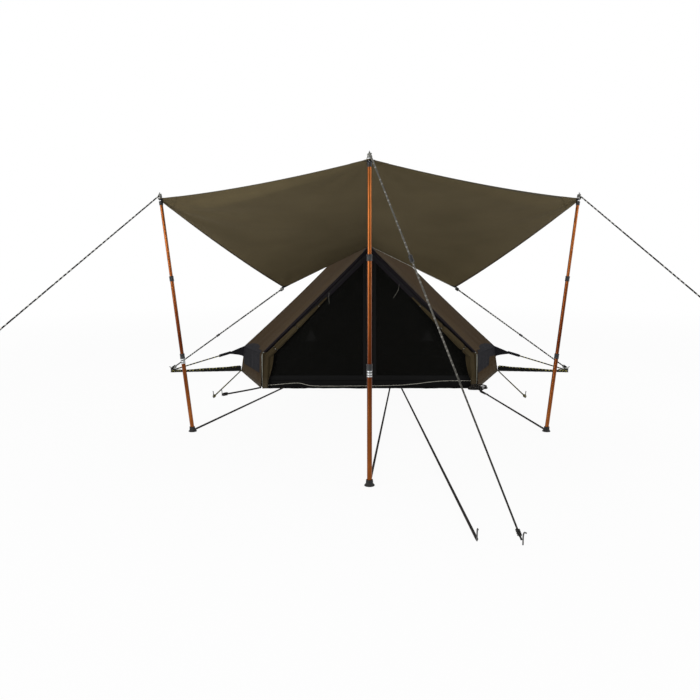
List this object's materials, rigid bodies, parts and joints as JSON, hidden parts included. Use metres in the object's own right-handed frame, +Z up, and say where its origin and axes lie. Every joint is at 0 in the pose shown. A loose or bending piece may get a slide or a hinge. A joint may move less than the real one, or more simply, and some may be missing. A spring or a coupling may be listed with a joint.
{
  "type": "tent with awning",
  "caption": "Low canvas tent with an A-frame doorway, rolled doors and an inner mesh door, under a separate ridged tarpaulin awning on telescopic poles with guylines and pegs.",
  "frame": {"origin": "on the ground under the tent's peak, on the underside of the groundsheet", "axes": "+Z up, +Y towards the back of the tent, +X to the right as seen from the doorway side"},
  "size_m": [7.273, 7.2306, 2.343],
  "materials": {
    "canvas": "matt dark olive-brown canvas",
    "black_cloth": "matt black reinforcement cloth",
    "black_mesh": "fine black mesh",
    "groundsheet": "coated black sheet",
    "copper_tube": "copper-coloured anodised, glossy",
    "grey_aluminium": "satin",
    "steel": "galvanised",
    "black_plastic": "satin moulded",
    "rubber": "matt",
    "black_cord": "braided with olive flecks",
    "pale_cord": "braided pale grey"
  },
  "bodies": {
    "shelter": {"awning": "canvas", "left_roof": "canvas", "right_roof": "canvas", "left_wall": "canvas", "right_wall": "canvas", "left_corner_patch": "black_cloth", "right_corner_patch": "black_cloth", "door_sleeves": "black_cloth", "left_door_pole": "grey_aluminium", "right_door_pole": "grey_aluminium", "groundsheet": "groundsheet", "left_door_roll": "canvas", "right_door_roll": "canvas", "tent_pole": "grey_aluminium", "center_foot": "rubber", "left_foot": "rubber", "right_foot": "rubber", "center_lower_tube": "copper_tube", "left_lower_tube": "copper_tube", "right_lower_tube": "copper_tube", "center_guyline": "pale_cord", "left_guyline": "black_cord", "right_guyline": "black_cord", "left_rear_guyline": "black_cord", "right_rear_guyline": "black_cord", "left_eave_guyline": "black_cord", "right_eave_guyline": "black_cord", "left_foot_cord": "black_cord", "center_foot_cord": "black_cord", "right_foot_cord": "black_cord", "front_cord": "black_cord", "left_strap": "black_cord", "right_strap": "black_cord", "center_peg": "steel", "left_peg": "steel", "right_peg": "steel", "left_tent_peg": "steel", "right_tent_peg": "steel", "front_peg": "steel", "center_runner": "black_plastic"},
    "center_middle": {"center_middle_tube": "copper_tube"},
    "center_top": {"center_top_tube": "copper_tube", "center_head": "black_plastic"},
    "left_middle": {"left_middle_tube": "copper_tube"},
    "left_top": {"left_top_tube": "copper_tube", "left_head": "black_plastic"},
    "right_middle": {"right_middle_tube": "copper_tube"},
    "right_top": {"right_top_tube": "copper_tube", "right_head": "black_plastic"},
    "center_lower_lock": {"center_lower_collar": "black_plastic"},
    "center_upper_lock": {"center_upper_collar": "black_plastic"},
    "left_lower_lock": {"left_lower_collar": "black_plastic"},
    "left_upper_lock": {"left_upper_collar": "black_plastic"},
    "right_lower_lock": {"right_lower_collar": "black_plastic"},
    "right_upper_lock": {"right_upper_collar": "black_plastic"},
    "left_mesh": {"left_mesh_door": "black_mesh"},
    "right_mesh": {"right_mesh_door": "black_mesh"},
    "slider": {"zip_slider": "steel"},
    "left_runner": {"left_rear_runner": "black_plastic"},
    "right_runner": {"right_rear_runner": "black_plastic"}
  },
  "joints": [
    {"name": "center_top_slide", "type": "slide", "parent": "shelter", "child": "center_top", "axis": [0, 0, 1], "range_m": [-0.7, 0]},
    {"name": "center_middle_slide", "type": "slide", "parent": "shelter", "child": "center_middle", "axis": [0, 0, 1], "range_m": [-0.35, 0]},
    {"name": "left_top_slide", "type": "slide", "parent": "shelter", "child": "left_top", "axis": [-0.0982, 0, 0.9952], "range_m": [-0.7, 0]},
    {"name": "left_middle_slide", "type": "slide", "parent": "shelter", "child": "left_middle", "axis": [-0.0982, 0, 0.9952], "range_m": [-0.35, 0]},
    {"name": "right_top_slide", "type": "slide", "parent": "shelter", "child": "right_top", "axis": [0.0982, 0, 0.9952], "range_m": [-0.7, 0]},
    {"name": "right_middle_slide", "type": "slide", "parent": "shelter", "child": "right_middle", "axis": [0.0982, 0, 0.9952], "range_m": [-0.35, 0]},
    {"name": "center_lower_lock_turn", "type": "hinge", "parent": "shelter", "child": "center_lower_lock", "pos_m": [0, -4.7, 0.86], "axis": [0, 0, 1], "range_deg": [0, 90]},
    {"name": "center_upper_lock_turn", "type": "hinge", "parent": "center_middle", "child": "center_upper_lock", "pos_m": [0, -4.7, 1.63], "axis": [0, 0, 1], "range_deg": [0, 90]},
    {"name": "left_lower_lock_turn", "type": "hinge", "parent": "shelter", "child": "left_lower_lock", "pos_m": [-1.71573, -3.2, 0.686], "axis": [-0.0982, 0, 0.9952], "range_deg": [0, 90]},
    {"name": "left_upper_lock_turn", "type": "hinge", "parent": "left_middle", "child": "left_upper_lock", "pos_m": [-1.78562, -3.2, 1.394], "axis": [-0.0982, 0, 0.9952], "range_deg": [0, 90]},
    {"name": "right_lower_lock_turn", "type": "hinge", "parent": "shelter", "child": "right_lower_lock", "pos_m": [1.71573, -3.2, 0.686], "axis": [0.0982, 0, 0.9952], "range_deg": [0, 90]},
    {"name": "right_upper_lock_turn", "type": "hinge", "parent": "right_middle", "child": "right_upper_lock", "pos_m": [1.78562, -3.2, 1.394], "axis": [0.0982, 0, 0.9952], "range_deg": [0, 90]},
    {"name": "left_mesh_swing", "type": "hinge", "parent": "shelter", "child": "left_mesh", "pos_m": [-0.001, -1.18925, 1.69217], "axis": [0.7126, 0, 0.7016], "range_deg": [0, 75]},
    {"name": "right_mesh_swing", "type": "hinge", "parent": "shelter", "child": "right_mesh", "pos_m": [0.001, -1.18925, 1.69217], "axis": [0.7126, 0, -0.7016], "range_deg": [0, 75]},
    {"name": "zip_slide", "type": "slide", "parent": "left_mesh", "child": "slider", "axis": [0, 0, 1], "range_m": [0, 1.42]},
    {"name": "left_runner_slide", "type": "slide", "parent": "shelter", "child": "left_runner", "axis": [-0.7262, 0.4671, -0.5045], "range_m": [-0.3, 0.5]},
    {"name": "right_runner_slide", "type": "slide", "parent": "shelter", "child": "right_runner", "axis": [0.7262, 0.4671, -0.5045], "range_m": [-0.3, 0.5]}
  ],
  "couplings": [
    {"joint": "center_middle_slide", "follows": "center_top_slide", "ratio": 0.5},
    {"joint": "left_top_slide", "follows": "center_top_slide", "ratio": 1},
    {"joint": "left_middle_slide", "follows": "center_top_slide", "ratio": 0.5},
    {"joint": "right_top_slide", "follows": "center_top_slide", "ratio": 1},
    {"joint": "right_middle_slide", "follows": "center_top_slide", "ratio": 0.5}
  ]
}
